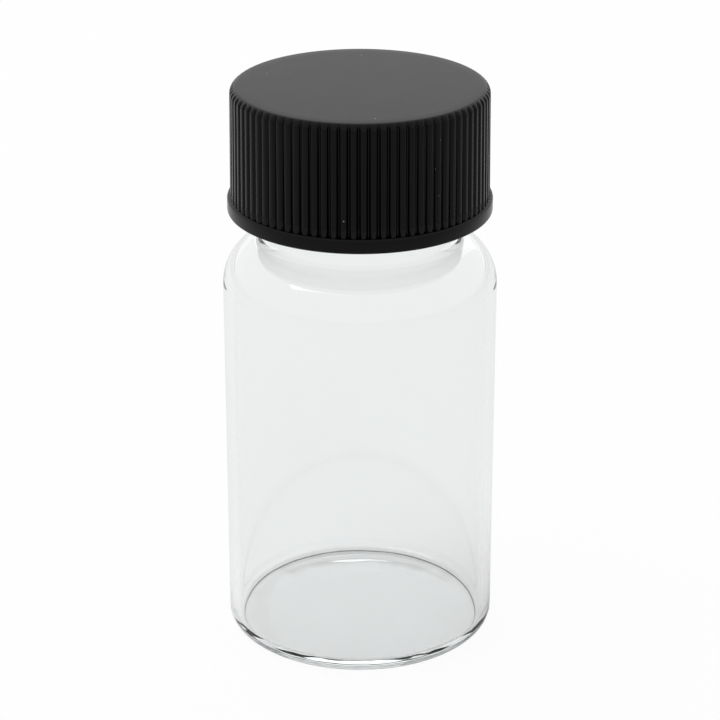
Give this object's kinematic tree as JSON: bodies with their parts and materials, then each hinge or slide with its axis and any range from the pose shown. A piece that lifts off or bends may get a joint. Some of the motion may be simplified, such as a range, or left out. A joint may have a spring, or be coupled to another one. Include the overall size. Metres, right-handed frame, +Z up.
{
  "type": "glass sample vial",
  "caption": "Clear glass sample vial with rounded shoulder and heel, and a black ribbed screw cap with a flat sealing liner.",
  "frame": {"origin": "centre of the foot ring's plane, on the axis, where the vial stands", "axes": "+Z up along the vial's axis towards the cap; X and Y are equal round directions, and the thread starts at +X"},
  "size_m": [0.0274, 0.0274, 0.0581],
  "materials": {
    "clear_glass": "clear fire-polished tube glass",
    "black_cap": "matte moulded black polypropylene",
    "liner": "matte off-white foamed polyethylene"
  },
  "bodies": {
    "vial": {"glass_vial": "clear_glass"},
    "liner": {"cap_liner": "liner"},
    "cap": {"screw_cap": "black_cap"}
  },
  "joints": [
    {"name": "cap_lift", "type": "slide", "parent": "vial", "child": "liner", "axis": [0, 0, 1], "range_m": [0, 0.0128]},
    {"name": "cap_turn", "type": "hinge", "parent": "liner", "child": "cap", "pos_m": [0, 0, 0.0581], "axis": [0, 0, 1], "range_deg": [0, 1440]}
  ],
  "couplings": [
    {"joint": "cap_lift", "follows": "cap_turn", "m_per_rad": 0.00050532}
  ]
}
